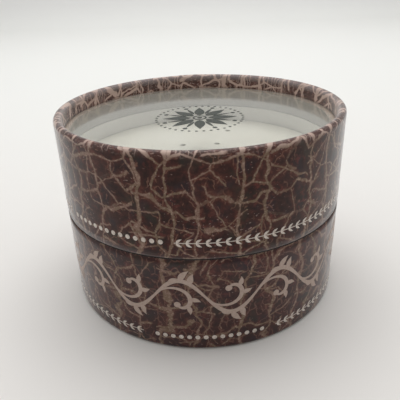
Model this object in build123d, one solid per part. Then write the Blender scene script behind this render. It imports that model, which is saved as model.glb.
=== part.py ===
from build123d import *
import math
import os

# Round paperboard powder box: a windowed lid with a rolled-in rim, and a base with a rolled foot,
# a neck that the lid slides over, and a perforated sifter.
# Millimetres, +Z up, origin on the axis at the level of the foot.

# ---- Overall form ------------------------------------------------------------
outer_diameter = 90.0       # over the printed wrap, lid and base alike
seam_height = 30.6          # foot to the seam between base and lid
lid_height = 29.5           # seam to the top of the rolled rim

# ---- Board tube and printed wrap -----------------------------------------------
tube_wall = 1.1             # wound board of the outer tubes
wrap_paper = 0.2            # laminated print glued round the board
wrap_trim = 0.2             # the wraps stop this far short of the seam
fold_gap = 0.1              # between the two legs of a rolled edge

# ---- Rolled rim and rolled foot --------------------------------------------------
rim_recess = 5.1            # top of the rim down to the window
foot_recess = 5.2           # foot up to the underside of the bottom disc
foot_flat_width = 1.0       # flat pressed into the rolled foot, where the box stands
wrap_foot_lift = 0.1        # lower edge of the base wrap above the table

# ---- Lid inside ------------------------------------------------------------------
window_thickness = 0.5
disc_clearance = 0.1        # round the discs and the liner in their tube
liner_wall = 1.3
liner_height = 6.7

# ---- Base inside -------------------------------------------------------------------
bottom_disc_thickness = 1.5
floor_disc_thickness = 1.0
neck_wall = 1.1
neck_clearance = 0.2        # between the papered neck and the lid's bore
neck_to_liner_gap = 0.2     # left under the lid's liner when the lid is shut
cover_paper = 0.15          # white paper over the neck
cover_tuck = 6.0            # length of that paper below the seam
cover_edge_round = 0.12

# ---- Sifter --------------------------------------------------------------------------
sifter_recess = 5.3         # top of the neck down to the sifter's face
sifter_thickness = 1.0
sifter_edge_clearance = 0.05
sifter_edge_round = 0.6
skirt_wall = 1.0
skirt_inset = 0.25          # the skirt stands this far in from the sifter's edge
skirt_depth = 8.0
crush_rib_count = 24
crush_rib_radius = 0.4
hole_diameter = 2.0
inner_hole_count = 6
inner_hole_circle = 12.0    # radius
inner_hole_start = 61.0     # degrees
outer_hole_count = 3
outer_hole_circle = 27.0    # radius
outer_hole_start = 67.0     # degrees

# ---- Sizes that follow -----------------------------------------------------------------
wrap_radius = outer_diameter / 2
tube_radius = wrap_radius - wrap_paper
tube_bore = tube_radius - tube_wall
fold_radius = tube_wall + fold_gap / 2
fold_centre = tube_radius - fold_radius
leg_radius = fold_centre - fold_radius

lid_top = seam_height + lid_height
rim_fold_z = lid_top - wrap_paper - fold_radius
foot_fold_z = math.sqrt(fold_radius**2 - (foot_flat_width / 2) ** 2)

window_top = lid_top - rim_recess
window_bottom = window_top - window_thickness
disc_radius = tube_bore - disc_clearance
liner_bore = disc_radius - liner_wall
liner_bottom = window_bottom - liner_height

bottom_disc_top = foot_recess + bottom_disc_thickness
floor_top = bottom_disc_top + floor_disc_thickness
cover_radius = tube_bore - neck_clearance
neck_radius = cover_radius - cover_paper
neck_bore = neck_radius - neck_wall
cover_top = liner_bottom - neck_to_liner_gap
neck_top = cover_top - cover_paper

sifter_top = cover_top - sifter_recess
sifter_bottom = sifter_top - sifter_thickness
sifter_radius = neck_bore - sifter_edge_clearance
skirt_radius = sifter_radius - skirt_inset
skirt_bottom = sifter_bottom - skirt_depth


def turned(*edges):
    """Solid of revolution about Z from a closed outline given as (radius, height)."""
    outline = Plane.XZ * (Curve() + list(edges))
    return revolve(make_face(outline), axis=Axis.Z)


def ring(inner, outer, bottom, top):
    """Plain tube or washer about Z."""
    corners = [(inner, bottom), (outer, bottom), (outer, top), (inner, top)]
    return turned(Polyline(*corners, close=True))


def disc(radius, bottom, top):
    """Plain disc about Z."""
    return Pos(0, 0, bottom) * Cylinder(radius, top - bottom, align=(Align.CENTER, Align.CENTER, Align.MIN))


def rolled_tube(fold_z, outer_end, inner_end, side):
    """Board tube whose wall turns back on itself; side is +1 for a rim and -1 for a foot."""
    half_gap = fold_gap / 2
    return turned(
        Line((tube_radius, outer_end), (tube_radius, fold_z)),
        CenterArc((fold_centre, fold_z), fold_radius, 0, side * 180),
        Line((leg_radius, fold_z), (leg_radius, inner_end)),
        Line((leg_radius, inner_end), (fold_centre - half_gap, inner_end)),
        Line((fold_centre - half_gap, inner_end), (fold_centre - half_gap, fold_z)),
        CenterArc((fold_centre, fold_z), half_gap, 180, -side * 180),
        Line((fold_centre + half_gap, fold_z), (fold_centre + half_gap, outer_end)),
        Line((fold_centre + half_gap, outer_end), (tube_radius, outer_end)),
    )


def lid_tube():
    """Outer tube of the lid, rolled in at the top down to the window."""
    return rolled_tube(rim_fold_z, seam_height, window_top, 1)


def lid_wrap():
    """Printed paper up the outside, over the rim and down inside it to the window."""
    outside = wrap_radius
    inside = leg_radius - wrap_paper
    lower_edge = seam_height + wrap_trim
    return turned(
        Line((outside, lower_edge), (outside, rim_fold_z)),
        CenterArc((fold_centre, rim_fold_z), fold_radius + wrap_paper, 0, 180),
        Line((inside, rim_fold_z), (inside, window_top)),
        Line((inside, window_top), (leg_radius, window_top)),
        Line((leg_radius, window_top), (leg_radius, rim_fold_z)),
        CenterArc((fold_centre, rim_fold_z), fold_radius, 180, -180),
        Line((tube_radius, rim_fold_z), (tube_radius, lower_edge)),
        Line((tube_radius, lower_edge), (outside, lower_edge)),
    )


def lid_window():
    """Clear disc trapped between the rolled rim and the liner."""
    return disc(disc_radius, window_bottom, window_top)


def lid_liner():
    """Inner tube of the lid, which holds the window up and stops short of the neck."""
    return ring(liner_bore, disc_radius, liner_bottom, window_bottom)


def base_tube():
    """Outer tube of the base, rolled in at the foot, with a flat pressed into the roll."""
    tube = rolled_tube(foot_fold_z, seam_height, foot_recess, -1)
    below_table = ring(leg_radius - 1, tube_radius + 1, -2 * fold_radius, 0)
    return tube - below_table


def base_wrap():
    """Printed paper down the outside and a little way round the rolled foot."""
    paper_arc = fold_radius + wrap_paper
    turn = math.degrees(math.asin((foot_fold_z - wrap_foot_lift) / paper_arc))
    upper_edge = seam_height - wrap_trim
    outer_arc = CenterArc((fold_centre, foot_fold_z), paper_arc, 0, -turn)
    inner_arc = CenterArc((fold_centre, foot_fold_z), fold_radius, -turn, turn)
    return turned(
        Line((wrap_radius, upper_edge), (wrap_radius, foot_fold_z)),
        outer_arc,
        Line(outer_arc @ 1, inner_arc @ 0),
        inner_arc,
        Line((tube_radius, foot_fold_z), (tube_radius, upper_edge)),
        Line((tube_radius, upper_edge), (wrap_radius, upper_edge)),
    )


def bottom_disc():
    """Board disc pressed against the end of the rolled foot."""
    return disc(disc_radius, foot_recess, bottom_disc_top)


def floor_disc():
    """White-lined disc that closes the powder chamber inside the neck."""
    return disc(neck_bore - disc_clearance, bottom_disc_top, floor_top)


def neck_tube():
    """Inner tube that stands on the bottom disc and rises above the seam."""
    return ring(neck_bore, neck_radius, bottom_disc_top, neck_top)


def neck_cover():
    """White paper up the outside of the neck, over its edge and down to the sifter."""
    outside = ring(neck_radius, cover_radius, seam_height - cover_tuck, neck_top)
    inside = ring(neck_bore - cover_paper, neck_bore, sifter_top, neck_top)
    edge = ring(neck_bore - cover_paper, cover_radius, neck_top, cover_top)
    top_edges = edge.faces().sort_by(Axis.Z)[-1].edges()
    return outside + inside + fillet(top_edges, cover_edge_round)


def sifter_holes():
    """Drills for the middle hole, the inner circle and the three outer holes."""
    drill = disc(hole_diameter / 2, sifter_bottom - 1, sifter_top + 1)
    inner = PolarLocations(inner_hole_circle, inner_hole_count, start_angle=inner_hole_start)
    outer = PolarLocations(outer_hole_circle, outer_hole_count, start_angle=outer_hole_start)
    return [drill] + [place * drill for place in inner] + [place * drill for place in outer]


def sifter():
    """Moulded plate with a skirt, whose crush ribs grip the neck."""
    plate = disc(sifter_radius, sifter_bottom, sifter_top)
    plate = fillet(plate.edges().sort_by(Axis.Z)[-1], sifter_edge_round)
    skirt = ring(skirt_radius - skirt_wall, skirt_radius, skirt_bottom, sifter_bottom)
    rib = disc(crush_rib_radius, skirt_bottom, sifter_bottom)
    ribs = [place * rib for place in PolarLocations(neck_bore - crush_rib_radius, crush_rib_count)]
    return plate + skirt + ribs - sifter_holes()


pieces = {
    "lid_tube": lid_tube,
    "lid_wrap": lid_wrap,
    "lid_window": lid_window,
    "lid_liner": lid_liner,
    "base_tube": base_tube,
    "base_wrap": base_wrap,
    "bottom_disc": bottom_disc,
    "floor_disc": floor_disc,
    "neck_tube": neck_tube,
    "neck_cover": neck_cover,
    "sifter": sifter,
}

os.makedirs("parts", exist_ok=True)
for name, make in pieces.items():
    export_step(make(), f"parts/{name}.step")
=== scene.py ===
import math

import bmesh
import bpy
from mathutils import Matrix, Vector


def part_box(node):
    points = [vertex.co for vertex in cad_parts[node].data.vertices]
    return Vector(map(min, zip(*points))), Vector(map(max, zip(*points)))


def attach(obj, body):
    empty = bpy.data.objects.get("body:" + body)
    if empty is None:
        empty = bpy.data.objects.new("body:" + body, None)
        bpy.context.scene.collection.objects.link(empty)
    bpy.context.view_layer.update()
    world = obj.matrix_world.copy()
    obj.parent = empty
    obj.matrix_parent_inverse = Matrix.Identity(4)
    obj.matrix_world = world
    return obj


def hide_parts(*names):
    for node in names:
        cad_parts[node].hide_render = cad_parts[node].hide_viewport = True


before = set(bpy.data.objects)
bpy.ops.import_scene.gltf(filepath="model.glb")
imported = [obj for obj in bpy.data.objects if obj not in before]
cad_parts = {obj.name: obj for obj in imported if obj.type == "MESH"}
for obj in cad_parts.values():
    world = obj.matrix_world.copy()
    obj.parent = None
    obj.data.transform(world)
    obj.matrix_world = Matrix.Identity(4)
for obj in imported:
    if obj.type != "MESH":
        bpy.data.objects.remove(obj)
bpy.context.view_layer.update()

# Looks of a round paperboard powder box: crackle-printed wraps, clear window, neck and sifter.
# Metres, in the frame's own axes; printed patterns are laid out in millimetres of flat paper.

MM = 0.001
TAU = 2 * math.pi


def srgb(red, green, blue):
    """Linear colour from the usual 0 to 255 numbers."""
    def linear(value):
        value /= 255
        return value / 12.92 if value <= 0.04045 else ((value + 0.055) / 1.055) ** 2.4
    return (linear(red), linear(green), linear(blue), 1.0)


# ---- Places that come from the frame, in millimetres ---------------------------------
OUTER_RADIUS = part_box("lid_wrap")[1][0] / MM
LID_WRAP_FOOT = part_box("lid_wrap")[0][2] / MM
BASE_WRAP_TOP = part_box("base_wrap")[1][2] / MM
BOARD_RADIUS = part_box("lid_tube")[1][0] / MM
BOARD_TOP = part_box("lid_tube")[1][2] / MM
WINDOW_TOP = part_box("lid_window")[1][2] / MM

# ---- Paper, board and window, in millimetres -------------------------------------------
PAPER = 0.095               # one sheet; two lie on each other at the lap
LAP_WIDTH = 8.0             # overlap of the sheet's ends, at the back
LAP_CLIMB = 3.0             # length over which the sheet climbs onto its own start
FOLD_RADIUS = 1.15          # round edge of the board
FOOT_TURN = math.radians(42)  # how far the base's paper follows the rolled foot
COLUMNS = 256               # round the box
WALL_ROWS = 14
RIM_STEPS = 20
FOOT_STEPS = 8
INNER_ROWS = 4              # from the rim down to the window
PLY_RISE = 60.0             # rise of the board's outer ply in one turn
HAZE_RADII = (40.2, 41.3)   # the window's haze thickens between them

FOLD_CENTRE = BOARD_RADIUS - FOLD_RADIUS
RIM_FOLD_Z = BOARD_TOP - FOLD_RADIUS  # the lid's paper starts to bend over here
FOOT_FOLD_Z = 1.04

# ---- Printed ornaments, in millimetres ---------------------------------------------------
INK_FOOT = -0.03            # the ink reaches this far into the paper
INK_TOP = 0.04              # and stands this far off it
PRINT_EDGE = 131.0          # the ornaments end here, short of the lap at the back
DOT_COUNT = 14              # in one row
DOT_PITCH = 2.36
DOT_RADIUS = 0.7
GARLAND_PITCH = 2.6
GARLAND_STEM = 0.11         # half width
LID_BAND_Z = 35.5           # middle of the band, above the table
BASE_BAND_Z = 4.4
VINE_HEIGHT = 18.4          # middle line above the table
VINE_SWING = 5.4
VINE_LENGTH = 28.4          # one whole wave
VINE_HALF_WAVES = 18
VINE_STEPS = 28             # along half a wave
TENDRIL_DROP = 2.0          # its centre lies this far past the middle line, as seen from the crest
TENDRIL_TURN = 5.4          # radians
TENDRIL_SHRINK = 0.36       # its radius falls as the exponential of this times the turn
TENDRIL_STEPS = 44
BERRY_RADIUS = 0.95         # at the tendril's end

# ---- Colours of the crackle print, with painted sheen, highlights and floor reflection -----
CELL_TONES = (
    (0.36, srgb(36, 12, 8)),
    (0.52, srgb(52, 23, 17)),
    (0.68, srgb(69, 32, 25)),
    (0.84, srgb(94, 52, 42)),
)
COOL_CELL = srgb(42, 33, 40)
OLIVE_CELL = srgb(46, 42, 32)
RED_BLOTCH = srgb(98, 43, 37)
FINE_CRACK = srgb(126, 88, 72)
FLECK = srgb(168, 140, 132)
# Painted reflection of the floor, laid over the base's cells as a veil.
CELL_FLOOR_REFLECTION = srgb(82, 73, 76)
VEIN_TONES = (
    (0.4, srgb(110, 94, 74)),
    (0.58, srgb(124, 103, 84)),
    (0.76, srgb(137, 110, 97)),
)
VEIN_SHADE = srgb(96, 66, 50)
VEIN_EDGE = srgb(92, 58, 46)
# Painted highlight: light streaks in the veins, for the shine of the glossy film.
VEIN_HIGHLIGHT_STREAK = srgb(168, 147, 131)
# Painted reflection of the floor, laid over the base's veins as a veil.
VEIN_FLOOR_REFLECTION = srgb(120, 100, 96)
# Painted sheen of the glossy film on the rolled rim, all round it and more on its inner side.
RIM_SHEEN_TONE = srgb(152, 126, 122)
INNER_RIM_SHEEN_TONE = srgb(180, 172, 172)
# Whitened paper on the rim's crest: real wear and a painted highlight together.
WORN_PAPER_AND_HIGHLIGHT = srgb(212, 186, 174)

# ---- Lines of the crackle print ------------------------------------------------------------
RUNG_SLANT = 0.88           # distance to a slanting vein over that straight up or down to it

# Half widths of the veins in mm: the least, and how much chance adds.
TRUNK_WIDTH = (0.2, 0.32)
RUNG_WIDTH = (0.2, 0.26)
NET_WIDTH = (0.19, 0.22)

# What bends the lines: the sizes of the noise, and how far each moves them, both in mm.
TRUNK_WARPS = ((19.0, 15.0), (6.0, 5.5), (1.6, 1.0))
NET_WARPS = ((7.0, 4.0), (1.6, 1.0))
PLEAT_WARPS = ((5.0, 3.4), (1.2, 0.5))


# ---- Node trees --------------------------------------------------------------------
class Tree:
    """A material's node tree, with short calls for the nodes used here."""

    def __init__(self, name):
        self.material = bpy.data.materials.new(name)
        self.material.use_nodes = True
        self.nodes = self.material.node_tree.nodes
        self.links = self.material.node_tree.links
        self.nodes.clear()
        self.output = self.nodes.new("ShaderNodeOutputMaterial")

    def put(self, socket, value):
        """Links a socket, or sets a plain value."""
        if value is None:
            return
        if isinstance(value, bpy.types.NodeSocket):
            self.links.new(value, socket)
        else:
            socket.default_value = value

    def node(self, kind, inputs=None, **settings):
        made = self.nodes.new(kind)
        for key, value in settings.items():
            setattr(made, key, value)
        for key, value in (inputs or {}).items():
            self.put(made.inputs[key], value)
        return made

    def math(self, operation, a, b=None, c=None):
        made = self.node("ShaderNodeMath", operation=operation)
        for socket, value in zip(made.inputs, (a, b, c)):
            self.put(socket, value)
        return made.outputs[0]

    def plus(self, a, b):
        return self.math("ADD", a, b)

    def minus(self, a, b):
        return self.math("SUBTRACT", a, b)

    def times(self, a, b):
        return self.math("MULTIPLY", a, b)

    def scaled(self, value, factor, offset):
        """value times factor, plus offset."""
        return self.math("MULTIPLY_ADD", value, factor, offset)

    def vector(self, operation, a, b=None, scale=None):
        made = self.node("ShaderNodeVectorMath", operation=operation)
        self.put(made.inputs[0], a)
        self.put(made.inputs[1], b)
        if scale is not None:
            self.put(made.inputs["Scale"], scale)
        return made.outputs["Value" if operation == "LENGTH" else "Vector"]

    def split(self, vector):
        return self.node("ShaderNodeSeparateXYZ", {"Vector": vector}).outputs

    def join(self, x, y, z=0.0):
        return self.node("ShaderNodeCombineXYZ", {"X": x, "Y": y, "Z": z}).outputs[0]

    def step(self, value, low, high, to_low=0.0, to_high=1.0):
        """Smooth step of value from low to high."""
        inputs = {
            "Value": value,
            "From Min": low,
            "From Max": high,
            "To Min": to_low,
            "To Max": to_high,
        }
        made = self.node("ShaderNodeMapRange", inputs, interpolation_type="SMOOTHSTEP")
        return made.outputs[0]

    def noise(self, vector, scale, detail=2.0, roughness=0.5):
        inputs = {"Vector": vector, "Scale": scale, "Detail": detail, "Roughness": roughness}
        return self.node("ShaderNodeTexNoise", inputs).outputs

    def random(self, x, y, seed):
        """Random value and colour of a pair of whole numbers."""
        place = self.join(x, y, seed)
        return self.node("ShaderNodeTexWhiteNoise", {"Vector": place}, noise_dimensions="3D").outputs

    def mix(self, amount, a, b, blend="MIX"):
        made = self.node("ShaderNodeMix", data_type="RGBA", blend_type=blend)
        for index, value in ((0, amount), (6, a), (7, b)):
            self.put(made.inputs[index], value)
        return made.outputs[2]

    def ramp(self, value, *stops):
        made = self.node("ShaderNodeValToRGB", {"Fac": value})
        band = made.color_ramp.elements
        while len(band) < len(stops):
            band.new(0.5)
        for element, (place, colour) in zip(band, stops):
            element.position = place
            element.color = colour
        return made.outputs["Color"]

    def bump(self, height, distance):
        return self.node("ShaderNodeBump", {"Height": height, "Distance": distance}).outputs[0]

    def surface(self, **inputs):
        """A Principled shader as the material's surface; keys use underscores for spaces."""
        shader = self.node("ShaderNodeBsdfPrincipled")
        for key, value in inputs.items():
            self.put(shader.inputs[key.replace("_", " ")], value)
        self.links.new(shader.outputs[0], self.output.inputs["Surface"])
        return self.material


# ---- Crackle print -----------------------------------------------------------------
def net_lines(tree, place, cell_width, cell_height, seed):
    """A net of cells: distance in mm to the nearest vein, and that vein's and the cell's randoms."""
    shrink = (1 / cell_width, 1 / cell_height, 0)
    cells = tree.vector("ADD", tree.vector("MULTIPLY", place, shrink), (seed, seed * 0.37, 0))
    inputs = {"Vector": cells, "Scale": 1.0, "Randomness": 0.9}
    near, second = (
        tree.node("ShaderNodeTexVoronoi", inputs, voronoi_dimensions="2D", feature=feature)
        for feature in ("F1", "F2")
    )
    gap = tree.minus(
        tree.math("POWER", second.outputs["Distance"], 2.0),
        tree.math("POWER", near.outputs["Distance"], 2.0),
    )
    apart = tree.vector("SUBTRACT", second.outputs["Position"], near.outputs["Position"])
    steepness = tree.vector("LENGTH", tree.vector("MULTIPLY", apart, shrink))
    distance = tree.math("DIVIDE", gap, tree.times(steepness, 2.0))
    both = tree.vector("ADD", second.outputs["Position"], near.outputs["Position"])
    chances = []
    for point in (both, near.outputs["Position"]):
        snapped = tree.vector("SNAP", point, (0.02, 0.02, 0.02))
        made = tree.node("ShaderNodeTexWhiteNoise", {"Vector": snapped}, noise_dimensions="2D")
        chances.append(made.outputs["Value"])
    return distance, *chances


def trunk_lines(tree, place, pitch, seed):
    """Upright veins about a pitch apart: distance in mm to the nearest, and its random numbers."""
    across, _, _ = tree.split(place)
    count = tree.math("DIVIDE", across, pitch)
    number = tree.math("ROUND", count)
    chance = tree.random(number, 0.0, seed)
    shift = tree.scaled(chance["Value"], 0.5, -0.25)
    off = tree.minus(tree.minus(count, number), shift)
    return tree.times(tree.math("ABSOLUTE", off), pitch), tree.split(chance["Color"])


def rung_lines(tree, place, pitch, rise, seed):
    """Slanting cross veins between the trunks: distance in mm, a mask that ends some of them
    blind, and a random number."""
    across, along, _ = tree.split(place)
    count = tree.math("DIVIDE", across, pitch)
    column = tree.math("FLOOR", count)
    side = tree.minus(count, column)
    start = tree.random(column, 7.0, seed)["Value"]
    level = tree.scaled(start, 5.0, tree.math("DIVIDE", along, rise))
    row = tree.math("ROUND", level)
    chance = tree.random(column, row, seed + 0.5)
    shift, tilt, reach = tree.split(chance["Color"])
    slant = tree.times(tree.minus(tilt, 0.5), tree.minus(side, 0.5))
    line = tree.scaled(slant, 1.2, tree.scaled(shift, 0.36, -0.18))
    off = tree.minus(tree.minus(level, row), line)
    distance = tree.times(tree.math("ABSOLUTE", off), rise * RUNG_SLANT)
    shown = tree.step(tree.scaled(reach, 3.0, tree.times(side, -1.0)), -0.05, 0.15)
    return distance, shown, chance["Value"]


def warped(tree, place, size, amount, seed):
    """place pushed about by noise of that size, both in mm."""
    moved = tree.vector("ADD", place, (seed * 13.1, seed * 7.7, 0))
    push = tree.vector("SUBTRACT", tree.noise(moved, 1 / size)["Color"], (0.5, 0.5, 0.5))
    return tree.vector("ADD", place, tree.vector("SCALE", push, scale=amount))


def bent(tree, place, warps, share, seed):
    """place pushed about by each of the warps in turn, by that share of what they say."""
    for i, (size, amount) in enumerate(warps):
        place = warped(tree, place, size, amount * share, seed + i)
    return place


def stroke(tree, distance, width, shown=1.0, soft=0.14):
    """Mask of a line of that half width, with soft edges."""
    edge = tree.step(distance, tree.plus(width, soft), tree.minus(width, soft))
    return tree.times(edge, shown)


def crackle_veins(tree, flat, rough_width, pitch, rise, cell_size, net_level, warp, seed):
    """All veins: their mask, the distance in mm to the nearest one's edge, and the random numbers
    of the nearest trunk and of the net's cell."""
    def half_width(chance, sizes):
        least, spread = sizes
        return tree.times(tree.scaled(chance, spread, least), rough_width)

    place = bent(tree, flat, TRUNK_WARPS, warp, seed)
    trunk, (thick, trunk_chance, _) = trunk_lines(tree, place, pitch, seed)
    trunk_width = half_width(thick, TRUNK_WIDTH)
    veins = stroke(tree, trunk, trunk_width)
    nearest = tree.minus(trunk, trunk_width)

    rung, rung_shown, rung_chance = rung_lines(tree, place, pitch, rise, seed + 3)
    place = bent(tree, flat, NET_WARPS, warp, seed + 4)
    net, net_chance, cell_chance = net_lines(tree, place, *cell_size, seed + 6)
    net_shown = tree.step(tree.minus(net_level, net_chance), -0.05, 0.12)

    for distance, width, shown in (
        (rung, half_width(rung_chance, RUNG_WIDTH), rung_shown),
        (net, half_width(net_chance, NET_WIDTH), net_shown),
    ):
        veins = tree.math("MAXIMUM", veins, stroke(tree, distance, width, shown))
        hidden = tree.scaled(shown, -2.0, 2.0)
        edge = tree.plus(tree.minus(distance, width), hidden)
        nearest = tree.math("MINIMUM", nearest, edge)
    return veins, nearest, trunk_chance, cell_chance


def cell_colour(tree, flat, nearest, ragged, cell_chance, fine, floor_reflection, seed):
    """Ground between the veins: nearly black in the middle of a cell, mottled red-brown towards
    its edge, with fine cracks and light pinkish flecks, under a painted reflection of the floor as a
    veil."""
    cloud = tree.noise(flat, 0.11, 3.0, 0.55)["Fac"]
    beside = tree.step(nearest, 1.5, 0.0)

    # Fine cracks: a small net, and more of it beside the veins.
    place = warped(tree, flat, 1.7, 1.7, seed + 7)
    thin, thin_chance, _ = net_lines(tree, place, 2.1, 2.5, seed + 8)
    crowd = tree.scaled(beside, 0.3, tree.times(cloud, 0.9))
    shown = tree.step(tree.minus(crowd, thin_chance), 0.12 - fine, 0.3 - fine)
    cracks = stroke(tree, thin, tree.times(ragged, 0.3), shown, 0.1)

    mottle = tree.noise(flat, 0.7, 4.0, 0.66)["Fac"]
    depth = tree.scaled(beside, 0.2, tree.times(mottle, 0.9))
    # The painted reflection of the floor also lightens the cells' tone.
    depth = tree.scaled(cell_chance, 0.12, tree.plus(depth, floor_reflection))
    ground = tree.ramp(depth, *CELL_TONES)
    cool, green, red = tree.split(tree.noise(flat, 0.17)["Color"])
    ground = tree.mix(tree.step(cool, 0.5, 0.68, 0.0, 0.56), ground, COOL_CELL)
    ground = tree.mix(tree.step(green, 0.54, 0.7, 0.0, 0.6), ground, OLIVE_CELL)
    blotch = tree.times(tree.step(red, 0.5, 0.62), tree.step(mottle, 0.5, 0.62))
    ground = tree.mix(tree.times(blotch, 0.65), ground, RED_BLOTCH)
    ground = tree.mix(tree.times(cracks, 0.66), ground, FINE_CRACK)

    place = tree.vector("MULTIPLY", warped(tree, flat, 3.0, 1.5, seed + 9), (1.0, 1.9, 1.0))
    fleck = tree.noise(place, 1.15, 0.0)["Fac"]
    fleck = tree.times(tree.step(fleck, 0.73, 0.79), tree.step(cloud, 0.46, 0.58))
    ground = tree.mix(tree.times(fleck, 0.65), ground, FLECK)
    # Painted reflection of the floor: a veil over the cells.
    return tree.mix(floor_reflection * 4, ground, CELL_FLOOR_REFLECTION)


def vein_colour(tree, flat, nearest, ragged, trunk_chance, floor_reflection, seed):
    """Tan of the veins, darker at their ragged edges, with light streaks that are a painted
    highlight, and a painted reflection of the floor over them.
    """
    hue = tree.scaled(trunk_chance, 0.25, tree.noise(flat, 0.35, 3.0, 0.6)["Fac"])
    tan = tree.ramp(hue, *VEIN_TONES)
    tan = tree.mix(tree.step(ragged, 0.62, 0.42, 0.0, 0.4), tan, VEIN_SHADE)
    tan = tree.mix(tree.step(nearest, -0.22, 0.04, 0.0, 0.4), tan, VEIN_EDGE)
    # Painted highlight: light streaks along the veins, for the shine of the glossy film.
    highlight_streak = tree.noise(warped(tree, flat, 2.2, 1.2, seed + 13), 1.5, 3.0, 0.6)["Fac"]
    tan = tree.mix(tree.step(highlight_streak, 0.5, 0.66, 0.0, 0.6), tan, VEIN_HIGHLIGHT_STREAK)
    # Painted reflection of the floor: a veil over the veins.
    return tree.mix(floor_reflection, tan, VEIN_FLOOR_REFLECTION)


def rim_wear_and_sheen(tree, flat, height, strain, veins, colour, seed):
    """The paper whitens where it is stretched over the rolled rim, most in fine pleats, on the
    veins and in scuffs: real wear with a painted highlight in it. A painted sheen also lightens the
    whole rim, more on its inner side."""
    place = bent(tree, flat, PLEAT_WARPS, 1.0, seed + 10)
    pleat, (pleat_chance, _, _) = trunk_lines(tree, place, 1.1, seed + 12)
    gathered = tree.step(tree.noise(flat, 0.085, 1.0, 0.4)["Fac"], 0.5, 0.6, 0.08, 0.8)
    shown = tree.step(tree.minus(gathered, pleat_chance), 0.0, 0.1)
    pleats = stroke(tree, pleat, 0.12, shown, 0.18)

    # The inner side of the rolled rim, in mm of paper past the start of the bend, where the painted
    # sheen is strongest.
    inner_sheen_mask = tree.times(
        tree.step(height, RIM_FOLD_Z + 1.7, RIM_FOLD_Z + 3.1),
        tree.step(height, RIM_FOLD_Z + 5.2, RIM_FOLD_Z + 3.6),
    )
    # Painted sheen: the rolled rim's paper is lightened towards a light pinkish grey, more on its
    # inner side.
    colour = tree.mix(tree.times(strain, 0.18), colour, RIM_SHEEN_TONE)
    colour = tree.mix(tree.times(inner_sheen_mask, 0.38), colour, INNER_RIM_SHEEN_TONE)
    # Real wear and a painted highlight together: the crest whitens on the veins, in the pleats and in
    # scattered scuffs and glints.
    worn = tree.math("MAXIMUM", tree.times(veins, 0.66), tree.times(pleats, 0.66))
    scuff_and_glint = tree.noise(tree.vector("MULTIPLY", flat, (0.8, 1.7, 1.0)), 1.2, 3.0, 0.65)["Fac"]
    worn = tree.math("MAXIMUM", worn, tree.step(scuff_and_glint, 0.53, 0.68, 0.0, 0.5))
    return tree.mix(tree.times(strain, worn), colour, WORN_PAPER_AND_HIGHLIGHT)


def crackle_print(name, pitch, rise, cell_size, net_level, warp, fine, floor_reflection, seed):
    """Laminated paper with a crackle print: dark cells, upright trunks with cross veins, a net of
    thinner veins, fine red-brown cracks and light pinkish flecks. pitch and rise space the trunks and
    their cross veins in mm, cell_size is the net's, net_level its share, warp bends the lines, fine
    adds cracks, and the veil's share lays a painted reflection of the floor over the cells and the
    veins."""
    tree = Tree(name)
    flat = tree.node("ShaderNodeUVMap", uv_map="developed").outputs[0]
    _, height, _ = tree.split(flat)
    strain = tree.step(height, RIM_FOLD_Z - 0.8, RIM_FOLD_Z + 1.2)
    ragged = tree.noise(flat, 1.1, 4.0, 0.65)["Fac"]
    uneven = tree.noise(flat, 0.28)["Fac"]
    rough_width = tree.scaled(ragged, 1.3, tree.scaled(uneven, 1.4, -0.4))
    rough_width = tree.scaled(strain, 0.5, rough_width)

    veins, nearest, trunk_chance, cell_chance = crackle_veins(
        tree, flat, rough_width, pitch, rise, cell_size, net_level, warp, seed
    )
    ground = cell_colour(tree, flat, nearest, ragged, cell_chance, fine, floor_reflection, seed)
    tan = vein_colour(tree, flat, nearest, ragged, trunk_chance, floor_reflection, seed)
    colour = tree.mix(veins, ground, tan)
    colour = rim_wear_and_sheen(tree, flat, height, strain, veins, colour, seed)

    film = tree.noise(flat, 0.35, 3.0)["Fac"]
    roughness = tree.step(film, 0.2, 0.8, 0.14, 0.22)
    normal = tree.bump(tree.noise(flat, 0.7)["Fac"], 0.03 * MM)
    sheen = {"Sheen_Weight": 0.42, "Sheen_Roughness": 0.35}
    return tree.surface(Base_Color=colour, Roughness=roughness, IOR=1.3, Normal=normal, **sheen)


# ---- Other materials -----------------------------------------------------------------
def object_place(tree):
    """Object coordinates in millimetres."""
    place = tree.node("ShaderNodeTexCoord").outputs["Object"]
    return tree.vector("SCALE", place, scale=1 / MM)


def axis_distance(tree, x, y):
    """Distance from the box's axis."""
    return tree.vector("LENGTH", tree.join(x, y))


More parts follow.
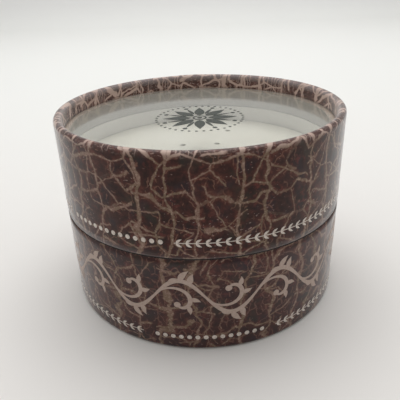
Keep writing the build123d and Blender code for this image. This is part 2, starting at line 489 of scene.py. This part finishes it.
def board(name, light, dark, rough=0.85, seam_shade=None):
    """Wound paperboard: fibres, specks and the slanting joint of its outer ply; the last argument is
    the colour of its outermost face, a near-black painted shade for the narrow seam gap between lid
    and base where that face shows."""
    tree = Tree(name)
    place = object_place(tree)
    x, y, z = tree.split(place)
    turned = tree.math("DIVIDE", tree.math("ARCTAN2", y, x), TAU)
    wound = tree.math("FRACT", tree.scaled(z, 1 / PLY_RISE, turned))
    off_joint = tree.times(tree.math("ABSOLUTE", tree.minus(wound, 0.5)), PLY_RISE)
    joint = tree.step(off_joint, 0.5, 0.2)
    fibre = tree.noise(tree.vector("MULTIPLY", place, (1.0, 1.0, 0.35)), 2.4, 5.0, 0.7)["Fac"]
    speck = tree.noise(place, 5.0, 2.0, 0.8)["Fac"]
    specks = tree.times(tree.step(speck, 0.68, 0.76), 0.35)
    colour = tree.ramp(fibre, (0.3, dark), (0.65, light))
    colour = tree.mix(specks, colour, srgb(120, 108, 92))
    colour = tree.mix(tree.times(joint, 0.6), colour, dark, "MULTIPLY")
    # Painted shade: the outermost face takes the given near-black colour, for the dark of the narrow
    # seam gap where it shows.
    if seam_shade:
        radius = axis_distance(tree, x, y)
        on_face = tree.step(radius, BOARD_RADIUS - 0.12, BOARD_RADIUS - 0.06)
        colour = tree.mix(on_face, colour, seam_shade)
    normal = tree.bump(tree.minus(fibre, joint), 0.06 * MM)
    return tree.surface(Base_Color=colour, Roughness=rough, Normal=normal)


def cream_plastic():
    """Satin moulded plastic with a fine spark texture."""
    tree = Tree("sifter_cream")
    place = object_place(tree)
    cloud = tree.noise(place, 0.05)["Fac"]
    colour = tree.ramp(cloud, (0.3, srgb(221, 219, 205)), (0.7, srgb(226, 225, 213)))
    spark = tree.noise(place, 9.0, 2.0, 0.6)["Fac"]
    roughness = tree.step(cloud, 0.2, 0.8, 0.42, 0.52)
    normal = tree.bump(spark, 0.02 * MM)
    return tree.surface(Base_Color=colour, Roughness=roughness, Normal=normal)


def clear_sheet():
    """Clear plastic sheet: see-through, with its reflection and a faint haze, which thickens
    where the sheet meets the rim."""
    tree = Tree("window_clear")
    place = object_place(tree)
    x, y, _ = tree.split(place)
    edge = tree.step(axis_distance(tree, x, y), *HAZE_RADII, 0.0, 0.5)
    cloud = tree.noise(place, 0.12, 3.0, 0.6)["Fac"]
    haze = tree.plus(tree.step(cloud, 0.2, 0.8, 0.03, 0.06), edge)
    dull, milky = (0.75, 0.75, 0.72, 1), srgb(204, 190, 176)
    milk = tree.mix(tree.times(edge, 2.0), dull, milky)
    clear = tree.node("ShaderNodeBsdfTransparent", {"Color": (0.975, 0.975, 0.972, 1)})
    shine = tree.node("ShaderNodeBsdfGlossy", {"Color": (1, 1, 1, 1), "Roughness": 0.09})
    dust = tree.node("ShaderNodeBsdfDiffuse", {"Color": milk})
    fresnel = tree.node("ShaderNodeFresnel", {"IOR": 1.6}).outputs[0]
    outside = tree.minus(1.0, tree.node("ShaderNodeNewGeometry").outputs["Backfacing"])
    fresnel = tree.times(fresnel, outside)
    hazy = tree.node("ShaderNodeMixShader", {0: haze, 1: clear.outputs[0], 2: dust.outputs[0]})
    both = tree.node("ShaderNodeMixShader", {0: fresnel, 1: hazy.outputs[0], 2: shine.outputs[0]})
    tree.links.new(both.outputs[0], tree.output.inputs["Surface"])
    return tree.material


def ink(name, light, dark, worn=0.0, index=1.5):
    """Printed ink, a little mottled and with darker specks, more of them the larger worn is."""
    tree = Tree(name)
    place = object_place(tree)
    mottle = tree.noise(place, 1.6, 4.0, 0.7)["Fac"]
    colour = tree.ramp(mottle, (0.35, dark), (0.6, light))
    speck = tree.noise(place, 3.1, 2.0, 0.6)["Fac"]
    colour = tree.mix(tree.step(speck, 0.66 - worn, 0.76 - worn, 0.0, 0.6), colour, dark)
    roughness = tree.step(mottle, 0.3, 0.7, 0.5, 0.34)
    normal = tree.bump(mottle, 0.01 * MM)
    return tree.surface(Base_Color=colour, Roughness=roughness, IOR=index, Normal=normal)


# ---- Meshes ------------------------------------------------------------------------------
def shown_object(name, data):
    """A new object in the scene."""
    made = bpy.data.objects.new(name, data)
    bpy.context.scene.collection.objects.link(made)
    return made


def finished(name, build, material, body, smooth=True):
    """A piece made from a bmesh, with its material, riding on that body."""
    mesh = bpy.data.meshes.new(name)
    bmesh.ops.recalc_face_normals(build, faces=build.faces)
    build.to_mesh(mesh)
    build.free()
    for face in mesh.polygons:
        face.use_smooth = smooth
    mesh.materials.append(material)
    piece = shown_object(name, mesh)
    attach(piece, body)
    return piece


def around(angle, radius, height):
    """Point in metres at that angle round the axis."""
    return (radius * MM * math.cos(angle), radius * MM * math.sin(angle), height * MM)


def on_circle(centre, radius, angle):
    """Point of a circle in the plane."""
    return (centre[0] + radius * math.cos(angle), centre[1] + radius * math.sin(angle))


def arc(height, radius, sweep, steps):
    """Points of a rolled edge's arc from its outermost point, as (radius, height)."""
    turns = [sweep * i / steps for i in range(steps + 1)]
    return [on_circle((FOLD_CENTRE, height), radius, turn) for turn in turns]


def wall(radius, low, high, rows):
    """Points along a straight wall, as (radius, height)."""
    return [(radius, low + (high - low) * i / rows) for i in range(rows + 1)]


def lengths(points, start):
    """Running length along the points, from start."""
    total = [start]
    for (r0, z0), (r1, z1) in zip(points, points[1:]):
        total.append(total[-1] + math.hypot(r1 - r0, z1 - z0))
    return total


def lifted(radius, height, lift):
    """A sheet's point moved off the board by lift: outward on the wall, round the rolled edges."""
    for fold_z, side in ((RIM_FOLD_Z, 1), (FOOT_FOLD_Z, -1)):
        if (height - fold_z) * side > 0:
            away = math.hypot(radius - FOLD_CENTRE, height - fold_z)
            grow = (away + lift) / away
            return FOLD_CENTRE + (radius - FOLD_CENTRE) * grow, fold_z + (height - fold_z) * grow
    return (radius + lift if radius > FOLD_CENTRE else radius - lift), height


def lapped_sheet(name, outside, inside, start_length, material, body):
    """A sheet of paper rolled round the box with its ends lapped at the back. outside and inside are
    the two faces' points as (radius, height), from the same end; the flat pattern's height starts at
    start_length and its width is measured from the lap."""
    outline = outside + inside[::-1]
    heights = lengths(outside, start_length) + lengths(inside, start_length)[::-1]
    lap_angle = LAP_WIDTH / OUTER_RADIUS
    climb_angle = LAP_CLIMB / OUTER_RADIUS
    columns = COLUMNS + round(COLUMNS * lap_angle / TAU)
    build = bmesh.new()
    developed = build.loops.layers.uv.new("developed")
    rings = []
    for column in range(columns + 1):
        turn = (TAU + lap_angle) * column / columns
        climb = min(1.0, max(0.0, (turn - TAU + climb_angle) / climb_angle))
        lift = PAPER * climb * climb * (3 - 2 * climb)
        angle = math.pi / 2 + turn
        ring = [build.verts.new(around(angle, *lifted(*point, lift))) for point in outline]
        rings.append((turn, ring))

    def add_face(*corners):
        """Face through corners given as (turn, ring, index in the outline)."""
        face = build.faces.new([ring[k] for _, ring, k in corners])
        for loop, (turn, _, k) in zip(face.loops, corners):
            loop[developed].uv = (turn * OUTER_RADIUS, heights[k])

    count = len(outline)
    for one, other in zip(rings, rings[1:]):
        for i in range(count):
            j = (i + 1) % count
            add_face((*one, i), (*other, i), (*other, j), (*one, j))
    for end in (rings[0], rings[-1]):
        add_face(*((*end, k) for k in range(count)))
    return finished(name, build, material, body)


def lid_wrap(material):
    """The lid's paper: up the outside, over the rim and down inside it to the window."""
    faces = []
    for offset in (PAPER, 0.0):
        side = wall(BOARD_RADIUS + offset, LID_WRAP_FOOT, RIM_FOLD_Z, WALL_ROWS)
        rim = arc(RIM_FOLD_Z, FOLD_RADIUS + offset, math.pi, RIM_STEPS)
        inner = wall(FOLD_CENTRE - FOLD_RADIUS - offset, RIM_FOLD_Z, WINDOW_TOP, INNER_ROWS)
        faces.append(side + rim[1:] + inner[1:])
    piece = lapped_sheet("lid_wrap_print", *faces, LID_WRAP_FOOT, material, "lid")
    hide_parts("lid_wrap")


def base_wrap(material):
    """The base's paper: down the outside and a little way round the foot."""
    faces = []
    for offset in (PAPER, 0.0):
        side = wall(BOARD_RADIUS + offset, BASE_WRAP_TOP, FOOT_FOLD_Z, WALL_ROWS)
        foot = arc(FOOT_FOLD_Z, FOLD_RADIUS + offset, -FOOT_TURN, FOOT_STEPS)
        faces.append(side + foot[1:])
    piece = lapped_sheet("base_wrap_print", *faces, -BASE_WRAP_TOP, material, "base")
    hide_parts("base_wrap")


# ---- Ornaments: thin closed shapes of ink, laid out flat in millimetres -------------------------
def on_wall(across, height, lift):
    """Flat pattern round the box's wall; across is counted from the front."""
    radius = BOARD_RADIUS + PAPER + lift
    return around(across / OUTER_RADIUS - math.pi / 2, radius, height)


def on_window(across, along, lift):
    """Flat pattern on the window, with its middle on the axis."""
    return (across * MM, along * MM, (WINDOW_TOP + lift) * MM)


def ribbon(build, place, points, half_widths):
    """Strip of ink along the points, with a half width for each of them."""
    rings = []
    last = len(points) - 1
    for i, ((a, b), half) in enumerate(zip(points, half_widths)):
        (a0, b0), (a1, b1) = points[max(0, i - 1)], points[min(last, i + 1)]
        run = math.hypot(a1 - a0, b1 - b0)
        out_a, out_b = -(b1 - b0) / run * half, (a1 - a0) / run * half
        corners = ((1, INK_FOOT), (1, INK_TOP), (-1, INK_TOP), (-1, INK_FOOT))
        rings.append([
            build.verts.new(place(a + side * out_a, b + side * out_b, lift)) for side, lift in corners
        ])
    for one, other in zip(rings, rings[1:]):
        for i in range(4):
            j = (i + 1) % 4
            build.faces.new((one[i], other[i], other[j], one[j]))
    build.faces.new(rings[0])
    build.faces.new(rings[-1][::-1])


def swelling(steps, least, extra, power=1.0):
    """Half widths that swell from least at both ends by extra in the middle."""
    return [least + extra * math.sin(math.pi * i / steps) ** power for i in range(steps + 1)]


def dot(build, place, centre, radius, sides=14):
    """Round spot of ink with a softly domed top."""
    rings = []
    for scale, lift in ((1.0, INK_FOOT), (1.0, INK_TOP * 0.5), (0.75, INK_TOP)):
        spots = [on_circle(centre, radius * scale, TAU * i / sides) for i in range(sides)]
        rings.append([build.verts.new(place(*spot, lift)) for spot in spots])
    for one, other in zip(rings, rings[1:]):
        for i in range(sides):
            j = (i + 1) % sides
            build.faces.new((one[i], one[j], other[j], other[i]))
    build.faces.new(rings[0])
    build.faces.new(rings[-1])


def leaf(build, place, base, aim, length, half, bend, steps=10):
    """Pointed leaf from base towards the angle aim, which turns by bend along the leaf."""
    points = [base]
    for i in range(steps):
        points.append(on_circle(points[-1], length / steps, aim + bend * (i + 0.5) / steps))
    shares = [i / steps for i in range(steps + 1)]
    half_widths = [max(0.05, half * math.sin(math.pi * share ** 0.75)) for share in shares]
    ribbon(build, place, points, half_widths)


def dot_row(build, start, height):
    """Row of dots that runs to the right from start, less those past the print's edge."""
    for i in range(DOT_COUNT):
        across = start + i * DOT_PITCH
        if abs(across) < PRINT_EDGE:
            dot(build, on_wall, (across, height), DOT_RADIUS)


def garland(build, start, end, height):
    """Thin stem with pairs of small leaves."""
    start, end = max(start, -PRINT_EDGE), min(end, PRINT_EDGE)
    if end < start + GARLAND_PITCH:
        return
    count = round((end - start) / GARLAND_PITCH)
    pitch = (end - start) / count
    stem = [(start + pitch * i / 4, height) for i in range(count * 4 + 1)]
    ribbon(build, on_wall, stem, [GARLAND_STEM] * len(stem))
    for i in range(count):
        base = (start + pitch * (i + 0.2), height)
        for side in (1, -1):
            aim, bend = side * 0.95, -side * 0.6
            leaf(build, on_wall, base, aim, length=1.9, half=0.36, bend=bend, steps=6)


def vine(build):
    """Waving stem with a curled tendril in each hollow, leaves and berries."""
    quarter = VINE_LENGTH / 4
    start = -VINE_HALF_WAVES * quarter
    for k in range(VINE_HALF_WAVES):
        side = 1 if k % 2 == 0 else -1
        middle = start + (2 * k + 1) * quarter

        def stem(share):
            """Point of this half wave; share runs from -1 to 1."""
            swing = side * VINE_SWING * math.cos(math.pi / 2 * share)
            return (middle + share * quarter, VINE_HEIGHT + swing)

        points = [stem(2 * i / VINE_STEPS - 1) for i in range(VINE_STEPS + 1)]
        ribbon(build, on_wall, points, swelling(VINE_STEPS, 0.34, 0.34))

        # The tendril leaves the stem where it crosses the middle line and curls in under the crest.
        centre = (middle, VINE_HEIGHT - side * TENDRIL_DROP)
        first_reach = math.hypot(quarter, TENDRIL_DROP)
        first_angle = math.pi - math.atan2(TENDRIL_DROP, quarter)
        curl = []
        for i in range(TENDRIL_STEPS + 1):
            turn = TENDRIL_TURN * i / TENDRIL_STEPS
            reach = first_reach * math.exp(-TENDRIL_SHRINK * turn)
            curl.append(on_circle(centre, reach, side * (first_angle - turn)))
        ribbon(build, on_wall, curl, swelling(TENDRIL_STEPS, 0.2, 0.42, 1.5))
        dot(build, on_wall, curl[-1], BERRY_RADIUS)

        # Leaves: three on the outside of the crest, two on the tendril's outer side.
        for share, lean, length in ((-0.42, 0.75, 3.6), (0.0, 0.35, 4.2), (0.42, -0.1, 3.6)):
            aim = side * (math.pi / 2 - lean)
            leaf(build, on_wall, stem(share), aim, length, half=0.85, bend=-side * 0.7)
        for index, lean in ((20, 0.3), (27, 0.55)):
            a, b = curl[index]
            aim = math.atan2(b - centre[1], a - centre[0]) - side * lean
            leaf(build, on_wall, (a, b), aim, length=3.0, half=0.7, bend=-side * 0.7)


def rosette(build):
    """Eight broad petals round a ring, with slim petals between them and a ring of dots outside."""
    middle = (0, 0)
    ring_radius, slim_dots_radius, edge_dots_radius = 2.0, 11.8, 13.9
    ring = [on_circle(middle, ring_radius, TAU * i / 32) for i in range(33)]
    ribbon(build, on_window, ring, [0.3] * len(ring))
    dot(build, on_window, middle, 0.85)
    for i in range(8):
        broad = TAU * i / 8
        slim = broad + math.pi / 8
        for angle, low, length, half in ((broad, 2.8, 9.0, 1.7), (slim, 4.6, 6.2, 0.55)):
            base = on_circle(middle, low, angle)
            leaf(build, on_window, base, angle, length, half, bend=0.0, steps=14)
        dot(build, on_window, on_circle(middle, slim_dots_radius, slim), 0.75)
    for i in range(40):
        spot = on_circle(middle, edge_dots_radius, TAU * (i + 0.5) / 40)
        dot(build, on_window, spot, 0.48, sides=8)


def band(build, start, margin, height):
    """Dot rows and garlands in turn, three of each round the box."""
    repeat = TAU * OUTER_RADIUS / 3
    row = (DOT_COUNT - 1) * DOT_PITCH
    for turn in (-2, -1, 0, 1):
        first = start + turn * repeat
        dot_row(build, first, height)
        garland(build, first + row + margin, first + repeat - margin, height)


def ornament(name, drawn, material, body):
    """A piece from a function that adds its shapes to a mesh."""
    build = bmesh.new()
    drawn(build)
    piece = finished(name, build, material, body, smooth=False)


def lid_band(build):
    band(build, start=-42.0, margin=3.6, height=LID_BAND_Z)


def base_band(build):
    band(build, start=-14.5, margin=4.5, height=BASE_BAND_Z)


def ornaments():
    silver = ink("ink_silver", srgb(220, 210, 201), srgb(184, 172, 161), worn=0.02)
    rose_tan = ink("ink_rose_tan", srgb(180, 160, 148), srgb(166, 144, 132))
    grey_green = ink("ink_grey_green", srgb(54, 60, 54), srgb(44, 50, 45), index=1.35)
    ornament("lid_band", lid_band, silver, "lid")
    ornament("base_band", base_band, silver, "base")
    ornament("base_vine", vine, rose_tan, "base")
    ornament("window_rosette", rosette, grey_green, "lid")


# ---- Stage, lights and camera ---------------------------------------------------------------
def stage():
    """Off-white floor of a light tent, which bends up into a back wall; the floor's colour is painted
    darker towards the back and the wall darker still, as painted shade.
    """
    tree = Tree("stage_white")
    place = tree.node("ShaderNodeTexCoord").outputs["Object"]
    _, y, z = tree.split(place)
    near, far, up = (0.83, 0.8, 0.775, 1), (0.775, 0.777, 0.757, 1), (0.73, 0.727, 0.715, 1)
    # Painted shade: the floor's colour darkens from its front towards its back, and the wall is
    # darker again, standing for how the tent's light falls.
    colour = tree.ramp(tree.step(y, -0.25, 0.35), (0.0, near), (1.0, far))
    colour = tree.mix(tree.step(z, 0.0, 0.05), colour, up)
    material = tree.surface(Base_Color=colour, Roughness=0.9)
    half, front, back, bend, top = 3.0, -3.0, 0.95, 0.12, 2.2
    profile = [(front, 0.0), (back - bend, 0.0)]
    turns = [math.pi / 2 * i / 12 for i in range(1, 13)]
    profile += [(back - bend + bend * math.sin(a), bend - bend * math.cos(a)) for a in turns]
    profile.append((back, top))
    build = bmesh.new()
    rows = [[build.verts.new((x, y, z)) for x in (-half, half)] for y, z in profile]
    for low, high in zip(rows, rows[1:]):
        build.faces.new((low[0], low[1], high[1], high[0]))
    mesh = bpy.data.meshes.new("stage")
    build.to_mesh(mesh)
    build.free()
    mesh.materials.append(material)
    for face in mesh.polygons:
        face.use_smooth = True
    floor = shown_object("stage", mesh)


def lights():
    """A white tent, open and darker towards the viewer, with a soft lamp over it."""
    world = bpy.data.worlds.new("white_tent")
    world.use_nodes = True
    nodes, links = world.node_tree.nodes, world.node_tree.links
    direction = nodes.new("ShaderNodeTexCoord").outputs["Generated"]
    parts = nodes.new("ShaderNodeSeparateXYZ")
    links.new(direction, parts.inputs[0])
    level = nodes.new("ShaderNodeMapRange")
    level.interpolation_type = "SMOOTHSTEP"
    links.new(parts.outputs["Y"], level.inputs["Value"])
    for key, value in (("From Min", -0.9), ("From Max", 0.1), ("To Min", 0.28), ("To Max", 0.76)):
        level.inputs[key].default_value = value
    ground = nodes["Background"]
    ground.inputs["Color"].default_value = (1.0, 0.997, 0.985, 1)
    links.new(level.outputs[0], ground.inputs["Strength"])
    bpy.context.scene.world = world
    soft = bpy.data.lights.new("overhead", "AREA")
    soft.shape = "RECTANGLE"
    soft.size = 1.0
    soft.size_y = 0.8
    soft.energy = 7.0
    lamp = shown_object("overhead", soft)
    lamp.matrix_world = Matrix.Translation((0, 0.36, 0.9))


def camera():
    """The photograph's view: place, aim and roll found from the box's rims, seam and foot."""
    place = Vector((0, -0.1442, 0.097))
    pitch, pan, roll = 0.4603, -0.0062, -0.0382
    focal_pixels, frame_pixels, sensor = 460.6, 400.0, 36.0
    flat_reach = math.cos(pitch)
    ahead = Vector((math.sin(pan) * flat_reach, math.cos(pan) * flat_reach, -math.sin(pitch)))
    level = ahead.cross(Vector((0, 0, 1))).normalized()
    over = level.cross(ahead)
    right = math.cos(roll) * level + math.sin(roll) * over
    up = -math.sin(roll) * level + math.cos(roll) * over
    data = bpy.data.cameras.new("photo_view")
    data.sensor_width = sensor
    data.lens = sensor * focal_pixels / frame_pixels
    data.clip_start, data.clip_end = 0.005, 20
    eye = shown_object("photo_view", data)
    eye.matrix_world = Matrix((
        (right.x, up.x, -ahead.x, place.x),
        (right.y, up.y, -ahead.y, place.y),
        (right.z, up.z, -ahead.z, place.z),
        (0, 0, 0, 1),
    ))
    bpy.context.scene.camera = eye


# ---- Making -----------------------------------------------------------------------------------
def dress(material, *nodes):
    """Gives CAD nodes their material."""
    for node in nodes:
        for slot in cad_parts[node].material_slots:
            slot.material = material


camera()
lights()
stage()

# The grey board's outermost face is painted near black, as the shade of the narrow seam gap.
grey_board = board("board_grey", srgb(168, 154, 134), srgb(138, 124, 106), seam_shade=srgb(26, 20, 19))
white_board = board("board_white", srgb(222, 220, 217), srgb(202, 199, 195), rough=0.7)
liner_board = board("board_liner", srgb(190, 188, 184), srgb(172, 170, 166), rough=0.7)
white_paper = board("paper_white", srgb(232, 231, 226), srgb(222, 220, 214), rough=0.6)

lid_wrap(crackle_print(
    "lid_crackle",
    pitch=9.4,
    rise=10.5,
    cell_size=(6.9, 6.6),
    net_level=0.8,
    warp=0.7,
    fine=-0.12,
    floor_reflection=0.0,
    seed=5.0,
))
base_wrap(crackle_print(
    "base_crackle",
    pitch=7.6,
    rise=8.0,
    cell_size=(6.1, 5.8),
    net_level=0.3,
    warp=1.0,
    fine=0.24,
    # Painted reflection of the floor on the base, as a veil over its print.
    floor_reflection=0.05,
    seed=11.0,
))
dress(grey_board, "lid_tube", "base_tube", "bottom_disc")
dress(white_board, "neck_tube", "floor_disc")
dress(liner_board, "lid_liner")
dress(white_paper, "neck_cover")
dress(cream_plastic(), "sifter")
dress(clear_sheet(), "lid_window")

ornaments()

bpy.context.scene.view_settings.view_transform = "Standard"
